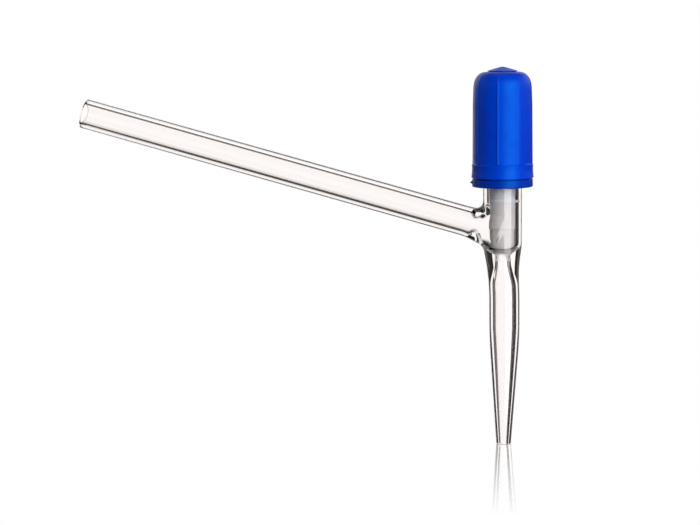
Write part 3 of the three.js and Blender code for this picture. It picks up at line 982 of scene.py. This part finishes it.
def floor_material():
    material = bpy.data.materials.new("studio_floor")
    material.use_nodes = True
    material.node_tree.nodes.clear()
    nodes = Nodes(material.node_tree)
    far = nodes.add("ShaderNodeVectorMath", nodes.place(), operation="LENGTH").outputs["Value"]
    mirror = nodes.add("ShaderNodeMapRange", far, *MIRROR_FADE, MIRROR, 0.0).outputs["Result"]
    white = nodes.add("ShaderNodeEmission", WHITE, 1.0).outputs[0]
    gloss = nodes.add("ShaderNodeBsdfGlossy", WHITE, MIRROR_ROUGHNESS).outputs[0]
    mix = nodes.add("ShaderNodeMixShader", mirror, white, gloss).outputs[0]
    nodes.add("ShaderNodeOutputMaterial", mix)
    return material


def card_light(nodes, azimuth, elevation):
    """The light of the card in a direction, or the dim light between the cards."""
    light = DIM
    for left, right, foot, top, value in CARDS:
        across = nodes.math("COMPARE", azimuth, math.radians((left + right) / 2),
                            math.radians((right - left) / 2))
        upright = nodes.math("COMPARE", elevation, math.radians((foot + top) / 2),
                             math.radians((top - foot) / 2))
        covered = nodes.math("MULTIPLY", across, upright)
        light = nodes.add("ShaderNodeMapRange", covered, 0.0, 1.0, light, value).outputs["Result"]
    low, high = map(math.radians, FALL_OFF)
    shade = nodes.add("ShaderNodeMapRange", elevation, low, high, FALL_OFF_LIGHT, 1.0)
    return nodes.math("MULTIPLY", light, shade.outputs["Result"])


def plain_rays(nodes, elevation):
    """1 for the rays that see plain white: the camera's own, and reflected ones that rise gently,
    as those from the floor do."""
    ray = nodes.add("ShaderNodeLightPath").outputs
    rising = nodes.math("COMPARE", elevation, *map(math.radians, MIRROR_RAYS))
    reflected = nodes.math("MULTIPLY", ray["Is Glossy Ray"], ray["Is Reflection Ray"])
    return nodes.math("MAXIMUM", ray["Is Camera Ray"], nodes.math("MULTIPLY", reflected, rising))


def studio_world():
    """Cards round the object, and plain white behind it."""
    studio = bpy.data.worlds.new("studio")
    bpy.context.scene.world = studio
    studio.use_nodes = True
    studio.node_tree.nodes.clear()
    nodes = Nodes(studio.node_tree)
    generated = nodes.add("ShaderNodeTexCoord").outputs["Generated"]
    toward = nodes.add("ShaderNodeSeparateXYZ", generated).outputs
    azimuth = nodes.math("ARCTAN2", nodes.math("MULTIPLY", toward["X"], -1.0), toward["Y"])
    elevation = nodes.math("ARCSINE", toward["Z"])
    light = card_light(nodes, azimuth, elevation)
    cards = nodes.add("ShaderNodeBackground", CARD_TINT, light).outputs[0]
    white = nodes.add("ShaderNodeBackground", WHITE, 1.0).outputs[0]
    mix = nodes.add("ShaderNodeMixShader", plain_rays(nodes, elevation), cards, white).outputs[0]
    nodes.add("ShaderNodeOutputWorld", mix)


def key_light():
    """A soft light on the knob and the spindle. It isn't seen through the glass."""
    light = bpy.data.lights.new("key_light", "AREA")
    light.shape = "RECTANGLE"
    light.size = KEY_WIDTH
    light.size_y = KEY_HEIGHT
    light.energy = KEY_POWER
    obj = bpy.data.objects.new("key_light", light)
    out = direction(KEY_AZIMUTH, KEY_ELEVATION)
    obj.location = Vector(world(KEY_AIM).tolist()) + out * KEY_DISTANCE
    obj.rotation_euler = out.to_track_quat("Z", "Y").to_euler()
    obj.visible_camera = False
    obj.visible_transmission = False
    bpy.context.scene.collection.objects.link(obj)


def camera():
    data = bpy.data.cameras.new("camera")
    data.sensor_width = SENSOR_WIDTH
    data.lens = CAMERA_LENS
    data.clip_start = 0.01
    obj = bpy.data.objects.new("camera", data)
    out = direction(CAMERA_AZIMUTH, CAMERA_ELEVATION)
    obj.location = Vector(world(CAMERA_AIM).tolist()) + out * CAMERA_DISTANCE
    upright = out.to_track_quat("Z", "Y").to_matrix()
    obj.rotation_euler = (upright @ Matrix.Rotation(CAMERA_ROLL, 3, "Z")).to_euler()
    bpy.context.scene.collection.objects.link(obj)
    bpy.context.scene.camera = obj


# ---- build ----

camera()
glass = glass_material()
ptfe = ptfe_material()
plastic = plastic_material("blue_polypropylene", KNOB_BLUE)
# The stop ring gets a copy of the knob's plastic whose blue is darkened as painted shade
painted_shade_ring_plastic = plastic_material("blue_polypropylene_ring_painted_shade", PAINTED_SHADE_RING_BLUE)
rubber = rubber_material()
steel = steel_material()

for piece, body, node, slot_name in (
    (glass_body(glass), "glass", "glass_body", "borosilicate_glass"),
    (spindle(ptfe), "spindle", "spindle", "ptfe"),
    (knob(plastic), "knob", "knob", "blue_polypropylene"),
    (stop_ring(painted_shade_ring_plastic), "knob", "stop_ring", "blue_polypropylene"),
    (knob_plug(plastic), "knob", "knob_plug", "blue_polypropylene"),
):
    if node != "glass_body":
        flat_faces_first(piece)
    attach(piece, body)
    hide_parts(node)

# The frame's own solids that stay in view
for node, material in (
    ("lower_o_ring", rubber), ("upper_o_ring", rubber), ("thrust_washer", ptfe),
    ("stem_washer", steel), ("stem_screw", steel),
):
    for slot in frame["nodes"][node].material_slots:
        slot.material = material

floor()
studio_world()
key_light()
bpy.context.scene.view_settings.view_transform = "Standard"
